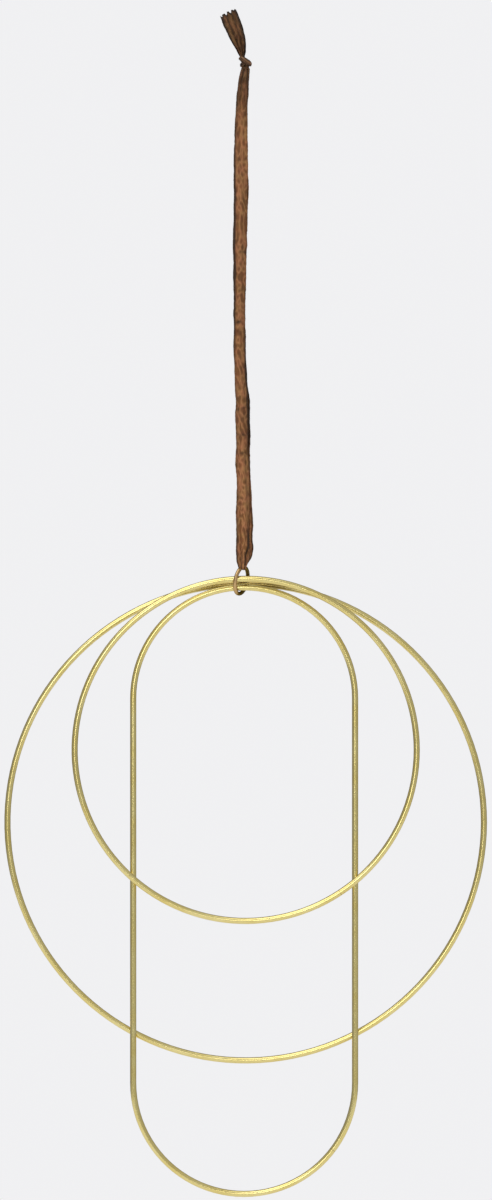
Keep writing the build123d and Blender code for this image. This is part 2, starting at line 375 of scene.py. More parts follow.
def brassMaterial(node):
    material = bpy.data.materials.new(node + "Brass")
    tree = newTree(material)
    middle, halfRun, radius = hoopShape(node)
    grain = placeGroup(tree, grainGroup, {
        "Middle": middle, "Half Run": halfRun, "Radius": radius, "Fineness": 1.0,
    })
    colour, lines, rough = wireTones(tree, brass, grain)
    colour = layOver(tree, colour, lines, brass["grainShade"], brass["deep"])
    turn = math.radians(seams["angles"][node])
    outward = Vector((math.cos(turn), 0, math.sin(turn)))
    seam = placeGroup(tree, seamGroup, {
        "Point": middle - Vector((0, 0, halfRun)) + outward * radius,
        "Along": Vector((-outward.z, 0, outward.x)),
        "Width": seams["width"] * mm,
    }).outputs["Mask"]
    colour = layOver(tree, colour, seam, seams["shade"], seams["colour"])
    if node == crownShade["hoop"]:
        # painted shade: the back hoop's crown is darkened where the hoops in front shade it, and fades out to
        # each side
        place = splitNode(tree, placeNode(tree))
        fade = addNode(tree, "ShaderNodeMapRange", interpolation_type="SMOOTHSTEP")
        fillInputs(tree, fade, {
            "Value": mathNode(tree, "ABSOLUTE", place["X"]),
            "From Min": crownShade["full"] * mm, "From Max": crownShade["gone"] * mm,
            "To Min": crownShade["strength"], "To Max": 0.0,
        })
        crown = mathNode(tree, "GREATER_THAN", place["Z"], middle.z)
        patch = mathNode(tree, "MULTIPLY", fade.outputs["Result"], crown)
        colour = mixColour(tree, patch, colour, crownShade["colour"])
    height = mathNode(tree, "SUBTRACT", lines, mathNode(tree, "MULTIPLY", seam, seams["depth"]))
    addSurface(tree, {
        "Base Color": colour,
        "Metallic": 1.0,
        "Specular Tint": brass["edge"],
        "Roughness": rough,
        "Coat Weight": brass["lacquer"],
        "Coat Roughness": brass["lacquerRough"],
        "Normal": bumpNode(tree, brass["grainDepth"], drawnLines["height"], Height=height),
    })
    return material


def dress(node, material):
    # a CAD node keeps its mesh and gets a better finish in each of its slots
    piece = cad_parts[node]
    for materialSlot in piece.material_slots:
        materialSlot.material = material
    if not piece.material_slots:
        piece.data.materials.append(material)
    for face in piece.data.polygons:
        face.use_smooth = True


for hoopName in seams["angles"]:
    dress(hoopName, brassMaterial(hoopName))

# the jump ring is a browner, bronze-coloured wire
jumpRing = {
    "bright": (0.72, 0.50, 0.25),
    "deep": (0.46, 0.29, 0.12),
    "clouds": [(0.30, 0.0), (0.70, 1.0)],
    "edge": (0.30, 0.22, 0.08),
    "smooth": 0.26,
    "rough": 0.42,
    "radius": 7.0,
    "fineness": 1.4,
    "grainDepth": 0.4,
    # painted shade on the ring's right-hand, back arm, as if it lay in shade: its colour, share, slant, start
    # and run
    "shadedSide": (0.13, 0.10, 0.025),
    "shadedSideShare": 0.85,
    "shadedSideSlant": 0.33,
    "shadedSideFrom": 84.6,        # where the painted shade starts, over x - slant * z
    "shadedSideRun": 1.2,
}


def bronzeMaterial():
    material = bpy.data.materials.new("bronzeRing")
    tree = newTree(material)
    grain = placeGroup(tree, grainGroup, {
        "Middle": hoopShape("jump_ring")[0], "Half Run": 0.0,
        "Radius": jumpRing["radius"] * mm, "Fineness": jumpRing["fineness"],
    })
    colour, lines, rough = wireTones(tree, jumpRing, grain)
    # painted shade darkens the ring's right-hand side
    place = splitNode(tree, placeNode(tree))
    across = mathNode(tree, "MULTIPLY_ADD", place["Z"], -jumpRing["shadedSideSlant"], place["X"])
    past = mathNode(tree, "SUBTRACT", across, jumpRing["shadedSideFrom"] * mm)
    shadedSide = mathNode(tree, "DIVIDE", past, jumpRing["shadedSideRun"] * mm, clamp=True)
    addSurface(tree, {
        "Base Color": layOver(tree, colour, shadedSide, jumpRing["shadedSideShare"], jumpRing["shadedSide"]),
        "Metallic": 1.0,
        "Specular Tint": jumpRing["edge"],
        "Roughness": rough,
        "Normal": bumpNode(tree, jumpRing["grainDepth"], drawnLines["height"], Height=lines),
    })
    return material


dress("jump_ring", bronzeMaterial())
print("hoops and ring dressed")


# the ribbon: one length of cloth, down in front, under the ring's top and up behind
ribbon = {
    "flatWidth": 10.0,
    "thickness": 0.17,
    "columns": 57,
    "rowStep": 0.6,
    "rowStepAtFoot": 0.35,     # the share of it that is left at the foot
    "settle": 12.0,            # over this height above the foot its rows draw closer and it stops wandering
    "rollRadius": 0.30,        # how tightly its two margins curl back
    "bulge": 1.08,             # how much more cloth lies between them than their distance
    "uneven": 0.25,            # how much further one of them is turned in than the other
    "wrinkleDepth": 0.24,
    "dentShade": 0.20,         # painted shade: how much a dent darkens the cloth
    "twistAt": (-0.8, 0.2),    # a place across and back
    "blendTop": -12.0,         # two heights on the legs
    "blendFoot": -244.0,
    # each leg: height, place across, place forward, chord, cup, turn
    "frontLeg": [
        (1.6, -0.2, 0.3, 3.2, 0.2, 0),
        (0.0, -0.2, 0.6, 4.5, 0.2, 0),
        (-0.9, -0.3, 2.0, 4.7, 0.2, 0),
        (-1.95, -0.4, 2.75, 4.9, 0.2, 0),
        (-4.64, -0.7, 3.2, 5.3, 0.2, 0),
        (-7.56, -1.0, 2.7, 5.6, 0.3, 0),
        (-17.08, -1.8, 1.1, 5.9, 0.5, 0),
        (-39.0, -2.3, 0.8, 6.6, 0.7, -3),
        (-63.4, -2.5, 0.8, 7.0, 0.9, 2),
        (-90.3, -2.9, 0.8, 6.8, 0.9, 4),
        (-122.0, -3.2, 0.8, 6.0, 1.1, -4),
        (-151.3, -3.0, 0.8, 6.0, 1.1, -6),
        (-175.7, -1.9, 0.9, 6.5, 0.9, 4),
        (-200.0, -1.7, 0.9, 6.3, 0.9, 6),
        (-224.5, -1.4, 1.0, 6.7, 0.7, 10),
        (-244.0, -1.5, 1.2, 6.8, 0.6, 12),
        (-249.0, -1.5, 1.4, 6.9, 0.6, 16),
        (-252.4, -1.4, 2.1, 6.7, 0.6, 20),
        (-254.9, -1.6, 3.2, 6.2, 0.6, 22),
    ],
    "backLeg": [
        (1.6, -0.2, -0.3, 3.2, 0.2, 0),
        (0.0, -0.2, -0.6, 4.5, 0.2, 0),
        (-0.9, -0.3, -2.0, 4.7, 0.2, 0),
        (-1.95, -0.4, -2.75, 4.9, 0.2, 0),
        (-4.64, -0.6, -3.2, 5.3, 0.2, 0),
        (-7.56, -1.1, -2.7, 5.7, 0.3, 0),
        (-17.08, -2.0, -1.1, 5.8, 0.5, 0),
        (-39.0, -2.4, -0.9, 6.7, 0.5, -3),
        (-63.4, -2.3, -0.8, 7.2, 0.6, 2),
        (-90.3, -3.0, -0.8, 7.0, 0.6, 4),
        (-122.0, -3.2, -0.8, 6.1, 0.7, -4),
        (-151.3, -2.7, -0.8, 6.1, 0.7, -6),
        (-180.6, -0.9, -0.85, 6.5, 0.6, 4),
        (-202.5, -0.9, -0.9, 6.3, 0.6, 6),
        (-223.3, 0.0, -1.0, 6.7, 0.5, 10),
        (-244.0, 0.4, -1.2, 7.0, 0.5, 14),
        (-249.0, 0.6, -1.2, 6.8, 0.5, 18),
        (-252.4, 0.2, -1.1, 6.2, 0.4, 24),
        (-255.0, -0.7, -1.2, 5.2, 0.3, 32),
    ],
    "foot": -252.4,            # where the legs end and the bend starts
    # the foot, under the ring's wire: place across, forward, height, chord, cup, turn
    "bend": [
        (-1, -1.5, 1.4, -249.0, 6.9, 0.6, 16),
        (0, -1.4, 2.1, -252.4, 6.7, 0.6, 20),
        (1, -1.6, 3.2, -254.9, 6.2, 0.6, 22),
        (2, -1.7, 4.0, -257.0, 5.2, 0.4, 25),
        (3, -1.7, 3.5, -258.4, 4.1, 0.1, 30),
        (4, -1.6, 1.9, -258.8, 3.5, 0.0, 36),
        (5, -1.6, 0.3, -258.5, 3.6, 0.1, 40),
        (6, -1.5, -1.0, -257.3, 4.0, 0.2, 38),
        (7, -0.7, -1.2, -255.0, 5.2, 0.3, 32),
        (8, 0.2, -1.1, -252.4, 6.2, 0.4, 24),
        (9, 0.6, -1.2, -249.0, 6.8, 0.5, 18),
    ],
    "bendSteps": 10,
    "gatherSpread": 0.7,       # half gathered cloth is drawn in at its margins, so it's laid this much wider
    "pleatShift": 0.6,         # how far the pleats are shifted, one way in front and the other behind
    # how a leg wanders on its way down: how much, how often, how far apart front and back, and a layer
    "widthWaver": (0.12, 0.11, 2.0, 4.4),
    "placeWaver": (0.35, 0.08, 2.0, 6.4),
    "marginWaver": (2.0, 0.02, 7.0, 0.5),
    "pleatWaver": (1.2, 0.012, 3.0, 9.5),
    # lengthwise folds: height, how gathered it is (0 open, 1 pleated), pleats, their depth
    "folds": [
        (1.6, 1.0, 3.0, 0.30),
        (-2.0, 0.85, 2.8, 0.36),
        (-9.0, 0.55, 2.6, 0.36),
        (-20.0, 0.25, 2.6, 0.28),
        (-38.0, 0.05, 2.6, 0.20),
        (-80.0, 0.0, 2.2, 0.15),
        (-150.0, 0.0, 2.4, 0.18),
        (-205.0, 0.0, 2.6, 0.21),
        (-236.0, 0.05, 3.0, 0.26),
        (-246.0, 0.20, 3.2, 0.32),
        (-252.4, 0.55, 3.2, 0.34),
        (-258.8, 0.90, 3.2, 0.20),
    ],
    "pleatShade": 0.8,         # painted shade: how dark gathered cloth is in its pleats
    "edgeShade": 0.9,          # and along its edges
    "edgeWidth": 0.75,
    # ridges on the front leg: height, place across it, width, how proud
    "ridges": [
        [
            (-20.0, 0.6, 1.2, 0.25), (-80.0, 0.2, 1.3, 0.30), (-150.0, 0.5, 1.2, 0.30),
            (-215.0, 0.4, 1.2, 0.35), (-240.0, 1.7, 1.0, 0.45), (-247.5, 1.6, 0.9, 0.65),
            (-252.0, 0.2, 0.8, 0.75), (-256.4, 0.4, 0.7, 0.5),
        ],
        [(-190.0, 2.2, 0.5, 0.0), (-228.0, 2.5, 0.5, 0.2), (-250.5, 2.9, 0.5, 0.45), (-256.4, 2.0, 0.4, 0.2)],
    ],
    "ridgeRise": 8.0,          # a ridge rises from this far above its first row to this far below it
    "ridgeSides": (0.7, 2.2),  # how steep it is at its left and at its right
    "ridgesEnd": (1.5, 3.5),   # the places on the bend between which they die out
    # the painted shadow just right of a ridge: how proud it has to stand, how dark, how far off, how narrow
    "ridgeShadow": (0.25, 4.0, 1.1, 1.4),
    "ridgeShade": 0.95,
    # creases pressed across the front leg and the back one: height, slant, how deep
    "creases": [
        [
            (-46.8, 0.15, 0.35), (-94.3, -0.10, 0.9), (-130.6, 0.12, 0.75), (-135.5, -0.2, 0.4),
            (-158.0, 0.3, 0.35), (-175.2, 0.25, 0.7), (-189.0, -0.08, 0.6), (-198.5, 0.2, 0.4),
            (-222.0, -0.3, 0.35),
        ],
        [
            (-33.0, 0.2, 0.5), (-71.0, -0.15, 0.7), (-108.0, 0.2, 0.4), (-141.0, -0.2, 0.8),
            (-167.0, 0.1, 0.5), (-204.0, 0.25, 0.7), (-229.0, -0.15, 0.4),
        ],
    ],
    "creaseWidth": 0.8,
    "creaseDepth": 0.35,
    "creaseReach": 5,          # beyond this many widths it does nothing
    "creaseLip": (0.6, 2),     # the raised lip above it: its share of the depth, and how many widths off
    "creasePatches": (0.75, 0.9, 0.55),     # how deep it is on average, how much that varies, how often
    # how dark the painted shade in a crease is
    "creaseShade": 0.9,
    # painted shade along the cloth's curled margins: the power that it fades in by
    "darkFade": 0.8,
    "darkWidth": (1.2, 0.9),   # how wide the painted shade along the margins is, at the left and at the right
    "darkest": (1.0, 0.75),    # and how dark
    # which changes on the way down: height, share at the left, share at the right
    "darkEdges": [
        (1.6, 0.95, 0.95), (-8.0, 0.9, 0.9), (-24.0, 0.6, 0.4), (-50.0, 0.9, 0.35), (-84.0, 1.3, 0.4),
        (-115.0, 1.1, 0.5), (-140.0, 0.7, 0.7), (-156.0, 0.5, 1.2), (-176.0, 0.45, 1.2), (-192.0, 0.4, 0.8),
        (-206.0, 0.4, 0.45), (-232.0, 0.55, 0.6), (-252.4, 0.9, 0.95),
    ],
}


def smoothRows(rows):
    # a smooth line through rows of numbers, read at any value of each row's first number
    rows = sorted(rows)
    places = [row[0] for row in rows]
    steps = [b - a for a, b in zip(places, places[1:])]
    channels = []
    for channel in zip(*[row[1:] for row in rows]):
        rises = [(b - a) / step for a, b, step in zip(channel, channel[1:], steps)]
        slopes = [rises[0]]
        for i in range(1, len(rows) - 1):
            slopes.append((rises[i - 1] * steps[i] + rises[i] * steps[i - 1]) / (steps[i - 1] + steps[i]))
        slopes.append(rises[-1])
        channels.append((channel, slopes))

    def read(place):
        place = min(max(place, places[0]), places[-1])
        i = 0
        while i < len(steps) - 1 and place > places[i + 1]:
            i += 1
        t = (place - places[i]) / steps[i]
        values = []
        for channel, slopes in channels:
            a, b = channel[i], channel[i + 1]
            ma, mb = slopes[i] * steps[i], slopes[i + 1] * steps[i]
            values.append(
                a * (2 * t ** 3 - 3 * t ** 2 + 1) + ma * (t ** 3 - 2 * t ** 2 + t)
                + b * (3 * t ** 2 - 2 * t ** 3) + mb * (t ** 3 - t ** 2)
            )
        return values

    return read


def crossFold(share, chord, cup, gathered, pleats, pleatDepth, lean, drift):
    # share runs from -1 to 1 over the cloth's width; gives the place across, forward and pleated out,
    # and how much painted shade it gets, deep in a fold or at a curled margin
    half = ribbon["flatWidth"] / 2
    radius = ribbon["rollRadius"]
    right = int(share >= 0)
    side = 1 if right else -1
    darkWidth, darkest = ribbon["darkWidth"][right], ribbon["darkest"][right]
    openHalf = chord / 2 - radius
    spare = (half - openHalf * ribbon["bulge"]) * (1 + ribbon["uneven"] * lean * side)
    runOut = half - max(spare, radius)
    arc = abs(share) * half
    turned = (arc - runOut) / radius       # the angle round a margin's curl
    # painted shade: it rises towards each margin and is full where the margin curls back and under
    if turned < 0:
        across = openHalf * arc / runOut
        back = 0.0
        paintedShade = darkest * max(0.0, 1 - (openHalf - across) / darkWidth) ** ribbon["darkFade"]
    elif turned < math.pi:
        across = openHalf + radius * math.sin(turned)
        back = radius * (1 - math.cos(turned))
        paintedShade = darkest
    else:
        across = openHalf - (turned - math.pi) * radius
        back = 2 * radius
        paintedShade = 1.0
    across *= side
    forward = cup * (1 - (across / (chord / 2)) ** 2) - back
    # the same place on gathered cloth, which lies in pleats and isn't curled, with painted shade in its
    # pleats and along its edges
    wave = math.sin(math.pi * pleats * share + drift)
    edge = max(0.0, 1 - (1 - abs(share)) * chord / 2 / ribbon["edgeWidth"])
    pleated = max(ribbon["pleatShade"] * -wave, ribbon["edgeShade"] * edge)
    across += (share * chord / 2 - across) * gathered
    forward += (cup * (1 - share ** 2) - forward) * gathered
    paintedShade += (pleated - paintedShade) * gathered
    return across, forward, pleatDepth * wave, min(1.0, paintedShade)


# the crushed silk: how often its wrinkles come across and along it, and how much each kind adds
crushed = {
    "creases": (0.55, 0.20, 0.45),
    "fineCreases": (1.1, 0.62, 0.35),
    "fineSkew": (0.35, 0.3),
    "dimples": (0.75, 0.45, 0.55),
    "sunk": 0.4,
}


def wrinkle(across, along):
    # sharp little creases, mostly along the cloth, finer ones askew and soft dimples;
    # the last number of each place keeps their patterns apart
    wide, long, creaseShare = crushed["creases"]
    crease = 1 - 2 * abs(noise.noise(Vector((across * wide, along * long, 3.1))))
    wide, long, fineShare = crushed["fineCreases"]
    skewWide, skewLong = crushed["fineSkew"]
    askew = Vector((across * wide + along * skewWide, along * long - across * skewLong, 8.7))
    finer = 1 - 2 * abs(noise.noise(askew))
    wide, long, dimpleShare = crushed["dimples"]
    dimple = noise.noise(Vector((across * wide, along * long, 15.2)))
    return creaseShare * crease + fineShare * finer + dimpleShare * dimple - crushed["sunk"]


def sheetObject(name, rows, thickness, closed=False):
    # rows of (place, across share, along, painted shade) in millimetres, made into a cloth with a thickness
    columns = len(rows[0])
    points = [Vector(cell[0]) * mm for row in rows for cell in row]
    faces = []
    for r in range(len(rows) - 1):
        for c in range(columns if closed else columns - 1):
            n = (c + 1) % columns
            faces.append((r * columns + c, r * columns + n, (r + 1) * columns + n, (r + 1) * columns + c))
    mesh = bpy.data.meshes.new(name)
    mesh.from_pydata(points, [], faces)
    cells = [cell for row in rows for cell in row]
    mapLayer = mesh.uv_layers.new(name="clothMap")
    for face in mesh.polygons:
        wraps = closed and face.index % columns == columns - 1
        for corner in face.loop_indices:
            cell = cells[mesh.loops[corner].vertex_index]
            across = 1.0 if wraps and cell[1] == 0 else cell[1]
            mapLayer.data[corner].uv = (across, cell[2] * mm)
    # painted shade kept on each point, for the cloth's material to darken it by
    paintedShade = mesh.attributes.new("paintedShade", "FLOAT", "POINT")
    paintedShade.data.foreach_set("value", [cell[3] for cell in cells])
    piece = bpy.data.objects.new(name, mesh)
    bpy.context.collection.objects.link(piece)
    if thickness:
        thicken = piece.modifiers.new("thicken", "SOLIDIFY")
        thicken.thickness = thickness * mm
        thicken.offset = 0
        solid = bpy.data.meshes.new_from_object(piece.evaluated_get(bpy.context.evaluated_depsgraph_get()))
        piece.modifiers.clear()
        piece.data = solid
        solid.name = name
    for face in piece.data.polygons:
        face.use_smooth = True
    return piece


def sharesOver(columns):
    # places over the cloth's width, from -1 at the left to 1 at the right
    return [2 * c / (columns - 1) - 1 for c in range(columns)]


def waver(settings, place, side):
    # a slow wander: how much, how often, how far apart the two sides' noise lies, and its layer
    amount, rate, apart, layer = settings
    return amount * noise.noise(Vector((place * rate, side * apart, layer)))


def heading(read, place, nudge=0.05):
    # which way a route of (across, forward, height) runs at this place
    ahead, behind = read(place + nudge), read(place - nudge)
    return Vector((ahead[0] - behind[0], behind[1] - ahead[1], ahead[2] - behind[2])).normalized()


ridgeLines = [smoothRows(rows) for rows in ribbon["ridges"]]


def ridgeAt(height, across):
    # how proud the cloth stands here, and the painted shadow just right of a ridge
    rise = ribbon["ridgeRise"]
    above, dark, offset, narrow = ribbon["ridgeShadow"]
    proud = 0.0
    shade = 0.0
    for rows, read in zip(ribbon["ridges"], ridgeLines):
        start = rows[0][0] + rise
        if height > start:
            continue
        place, width, lift = read(height)
        lift *= min(1.0, (start - height) / (2 * rise))
        off = (across - place) / width
        proud += lift * math.exp(-off * off * ribbon["ridgeSides"][0 if off < 0 else 1])
        if off > 0:
            cast = min(1.0, max(0.0, lift - above) * dark)
            shade = max(shade, cast * math.exp(-(off - offset) ** 2 * narrow))
    return proud, shade * ribbon["ridgeShade"]


def creaseAt(creases, height, across):
    # how far the cloth is pressed in here, with a raised lip above each crease, and the painted shade in each
    # crease
    mean, varied, often = ribbon["creasePatches"]
    lipShare, lipOff = ribbon["creaseLip"]
    pressed = 0.0
    shade = 0.0
    for place, slant, depth in creases:
        off = (height - place - slant * across) / ribbon["creaseWidth"]
        if abs(off) < ribbon["creaseReach"]:
            depth *= mean + varied * noise.noise(Vector((across * often, place, 0.3)))
            pressed += depth * (math.exp(-off * off) - lipShare * math.exp(-(off - lipOff) ** 2))
            shade = max(shade, depth * math.exp(-off * off))
    return pressed * ribbon["creaseDepth"], shade * ribbon["creaseShade"]


def gatherWidth(gathered):
    return 1 + ribbon["gatherSpread"] * gathered ** 2 * (1 - gathered)


def legRows(stations, side):
    # side is 1 for the front leg, -1 for the back one
    read = smoothRows(stations)
    folds = smoothRows(ribbon["folds"])
    darkEdges = smoothRows(ribbon["darkEdges"])
    creases = ribbon["creases"][0 if side > 0 else 1]
    top, foot = stations[0][0], ribbon["foot"]
    step, stepAtFoot = ribbon["rowStep"], ribbon["rowStepAtFoot"]

    def looseAt(height):
        # 1 well above the foot, 0 at it
        return min(1.0, (height - foot) / ribbon["settle"])

    heights = []
    height = top
    while height > foot + 0.01:
        heights.append(height)
        height -= step * (stepAtFoot + (1 - stepAtFoot) * looseAt(height))
    heights.append(foot)
    rows = []
    for height in heights:
        across, forward, chord, cup, turn = read(height)
        gathered, pleats, depth = folds(height)
        darkLeft, darkRight = darkEdges(height)
        loose = looseAt(height)
        chord *= gatherWidth(gathered)
        chord *= 1 + loose * waver(ribbon["widthWaver"], height, side)
        across += loose * waver(ribbon["placeWaver"], height, side)
        lean = loose * waver(ribbon["marginWaver"], height, side)
        drift = loose * waver(ribbon["pleatWaver"], height, side) * (1 - gathered)
        drift += ribbon["pleatShift"] * side
        turned = math.radians(turn)
        outAcross = Vector((math.cos(turned), math.sin(turned), 0))
        low, high = height - step / 2, min(height + step / 2, top)
        below, above = read(low), read(high)
        down = Vector((below[0] - above[0], above[1] - below[1], low - high)).normalized()
        outForward = down.cross(outAcross).normalized()
        middle = Vector((across, -forward, height))
        row = []
        for share in sharesOver(ribbon["columns"]):
            a, f, p, paintedShade = crossFold(share, chord, cup, gathered, pleats, depth, lean, drift)
            # painted shade: the margins' shade, scaled on the way down, then the creases' and ridges' painted
            # shade
            paintedShade = min(1.0, paintedShade * (darkRight if share > 0 else darkLeft))
            pressed, creaseShade = creaseAt(creases, height, a)
            proud, ridgeShade = ridgeAt(height, a) if side > 0 else (0.0, 0.0)
            place = middle + outAcross * a + outForward * side * (f - pressed + proud + p)
            row.append([place, share, 0.0, max(paintedShade, creaseShade, ridgeShade)])
        rows.append(row)
    return rows


def bendRows():
    # the foot of the loop, from the front leg's end round under the wire to the back leg's
    read = smoothRows(ribbon["bend"])
    folds = smoothRows(ribbon["folds"])
    last = ribbon["bend"][-2][0]
    easeFrom, easeTo = ribbon["ridgesEnd"]
    rows = []
    for r in range(1, last * ribbon["bendSteps"]):
        t = r / ribbon["bendSteps"]
        across, forward, height, chord, cup, turn = read(t)
        gathered, pleats, depth = folds(height)
        chord *= gatherWidth(gathered)
        drift = ribbon["pleatShift"] * math.cos(math.pi * t / last)
        turned = math.radians(turn)
        outAcross = Vector((math.cos(turned), math.sin(turned), 0))
        outward = heading(read, t).cross(outAcross).normalized()
        middle = Vector((across, -forward, height))
        ease = max(0.0, min(1.0, (easeTo - t) / (easeTo - easeFrom)))
        row = []
        for share in sharesOver(ribbon["columns"]):
            a, f, p, paintedShade = crossFold(share, chord, cup, gathered, pleats, depth, 0.0, drift)
            proud, shade = ridgeAt(height, a)
            place = middle + outAcross * a + outward * (f + p + proud * ease)
            # painted shade of the folds, with the ridges' painted shadow
            row.append([place, share, 0.0, max(paintedShade, shade * ease)])
        rows.append(row)
    return rows


def crumple(rows):
    # pushes each point of the cloth out along its own normal by its wrinkles
    count, columns = len(rows), len(rows[0])
    moved = []
    for r, row in enumerate(rows):
        line = []
        for c, (place, share, along, paintedShade) in enumerate(row):
            left, right = row[max(c - 1, 0)][0], row[min(c + 1, columns - 1)][0]
            before, after = rows[max(r - 1, 0)][c][0], rows[min(r + 1, count - 1)][c][0]
            normal = (right - left).cross(after - before)
            normal = normal.normalized() if normal.length > 1e-9 else Vector((0, 0, 0))
            push = wrinkle(share * ribbon["flatWidth"] / 2, along)
            # painted shade in the wrinkles' dents
            dent = min(1.0, paintedShade + ribbon["dentShade"] * max(0.0, -push))
            line.append((place + normal * push * ribbon["wrinkleDepth"], (share + 1) / 2, along, dent))
        moved.append(line)
    return moved


def makeRibbonLoop():
    front = legRows(ribbon["frontLeg"], 1)
    back = legRows(ribbon["backLeg"], -1)
    back.reverse()
    rows = front + bendRows() + back
    # the length runs on from the knot, down and up again
    along = 0.0
    for r, row in enumerate(rows):
        if r:
            along += (row[len(row) // 2][0] - rows[r - 1][len(row) // 2][0]).length
        for cell in row:
            cell[2] = along
    piece = sheetObject("ribbonLoop", crumple(rows), ribbon["thickness"])
    return piece, along


ribbonLoop, ribbonLength = makeRibbonLoop()
print("ribbon loop laid,", round(ribbonLength), "mm of it")


# the knot: the doubled ribbon, bunched and tied overhand
knot = {
    "around": 60,
    "steps": 14,               # sections between two places of the route
    "ridges": 5,
    "ridgeDepth": 0.26,
    "ridgeRound": 1.6,         # how round the ridges' backs are
    "ridgeTwist": (0.35, 0.5), # how far they sway round the strand, and how often
    # noise over the strand's skin: how much, how often round it, how often along it
    "ridgeWander": (1.98, 0.8, 0.12),
    "swell": (0.05, 1.5, 0.35),
    "wrinkleDepth": 0.12,
    "wrinklesRound": (4, 2),   # how far the wrinkles' pattern runs across the strand and through it
    "wrinklesFrom": 40,
    "tip": 0.35,               # how far each end is drawn in
    "hole": (-2.3, 2.4, 0.75), # the gap at its lower left, pressed in and given a painted shadow: across, up, radius
    "holeDepth": 0.6,
    # painted shade, how dark it is and the power that this falls off by: in the grooves, at the sides
    "grooveShade": (0.85, 0.8),
    "sideShade": (0.9, 3),
    "holeShade": 1.2,
    # place across, forward, up, width, thickness, and where its inner face looks: across, forward, up
    "route": [
        (-0.3, 0.0, -0.1, 3.0, 0.9, 0, 1, 0),
        (-0.3, -0.1, 0.5, 4.0, 1.7, 0, 1, 0),
        (-0.2, -0.5, 1.6, 3.9, 1.6, 0, 1, 0),
        (-0.4, -0.8, 3.0, 3.3, 1.4, 0, 1, 0),
        (-1.1, -0.9, 4.5, 2.9, 1.3, 0.1, 1, 0),
        (-2.1, -0.7, 5.6, 2.5, 1.2, 0.4, 0.8, -0.5),
        (-2.8, 0.2, 6.1, 2.3, 1.1, 0.7, 0.0, -0.7),
        (-2.3, 1.3, 5.9, 2.3, 1.1, 0.4, -0.8, -0.5),
        (-0.9, 2.0, 5.0, 2.5, 1.1, 0, -1, 0),
        (0.8, 2.1, 3.9, 2.6, 1.1, -0.1, -1, 0),
        (2.1, 1.4, 3.1, 2.6, 1.1, -0.7, -0.7, 0),
        (2.6, 0.0, 2.9, 2.5, 1.1, -1, 0, 0),
        (1.9, -1.5, 3.0, 2.5, 1.1, -0.7, 0.7, 0),
        (0.2, -2.2, 3.1, 2.5, 1.1, 0, 1, 0),
        (-1.5, -1.7, 2.8, 2.4, 1.1, 0.6, 0.7, 0),
        (-2.4, -0.4, 2.3, 2.2, 1.1, 1, 0, 0.1),
        (-2.0, 0.8, 2.2, 2.0, 1.1, 0.7, -0.7, 0.1),
        (-1.0, 1.0, 3.3, 2.2, 1.1, 0, -1, 0),
        (-1.0, 0.5, 4.8, 2.2, 1.1, 0, -1, 0),
        (-1.4, 0.1, 6.2, 2.2, 1.2, 0, -1, 0),
        (-1.9, 0.1, 7.3, 2.3, 1.2, 0, -1, 0),
        (-2.3, 0.1, 8.0, 1.9, 0.8, 0, -1, 0),
    ],
}


def makeKnot():
    read = smoothRows([(i,) + row for i, row in enumerate(knot["route"])])
    count = (len(knot["route"]) - 1) * knot["steps"]
    twist, twistRate = knot["ridgeTwist"]
    holeX, holeZ, holeRadius = knot["hole"]
    grooveShade, groovePower = knot["grooveShade"]
    sideShade, sidePower = knot["sideShade"]
    acrossWrinkles, throughWrinkles = knot["wrinklesRound"]

    def skinNoise(turn, along, settings):
        amount, roundRate, alongRate = settings
        place = Vector((math.cos(turn) * roundRate, math.sin(turn) * roundRate, along * alongRate))
        return amount * noise.noise(place)

    def drawnIn(row):
        # an end of the strand, drawn in to a soft point and fully in painted shade
        centre = sum((cell[0] for cell in row), Vector()) / len(row)
        return [(centre + (cell[0] - centre) * knot["tip"], cell[1], cell[2], 1.0) for cell in row]

    rows = []
    along = 0.0
    for i in range(count + 1):
        x, forward, z, width, thick, innerX, innerForward, innerZ = read(i / knot["steps"])
        middle = Vector((x, -forward, z))
        tangent = heading(read, i / knot["steps"])
        inner = Vector((innerX, -innerForward, innerZ))
        inner = (inner - tangent * inner.dot(tangent)).normalized()
        flat = tangent.cross(inner)
        if rows:
            along += (middle - lastMiddle).length
        lastMiddle = middle
        row = []
        for c in range(knot["around"]):
            turn = 2 * math.pi * c / knot["around"]
            sway = skinNoise(turn, along, knot["ridgeWander"]) + twist * math.sin(along * twistRate)
            groove = 1 - abs(math.cos(turn * knot["ridges"] / 2 + sway))
            swell = 1 - knot["ridgeDepth"] * groove ** knot["ridgeRound"]
            swell += skinNoise(turn, along, knot["swell"])
            out = flat * math.cos(turn) * width / 2 + inner * math.sin(turn) * thick / 2
            wrapped = acrossWrinkles * math.cos(turn) + throughWrinkles * math.sin(turn)
            push = knot["wrinkleDepth"] * wrinkle(wrapped, along + knot["wrinklesFrom"])
            place = middle + out * swell + out.normalized() * push
            off = math.hypot(place.x - holeX, place.z - holeZ) / holeRadius
            hole = math.exp(-off ** 2) if place.y < 0 else 0.0
            place.y += knot["holeDepth"] * hole
            # painted shade in the grooves, at the strand's sides and in the gap
            shade = max(
                grooveShade * groove ** groovePower,
                sideShade * abs(math.cos(turn)) ** sidePower,
                min(1.0, knot["holeShade"] * hole),
            )
            row.append((place, c / knot["around"], along, shade))
        rows.append(row)
    rows = [drawnIn(rows[0])] + rows + [drawnIn(rows[-1])]
    return sheetObject("ribbonKnot", rows, 0, closed=True)


ribbonKnot = makeKnot()
print("knot tied")


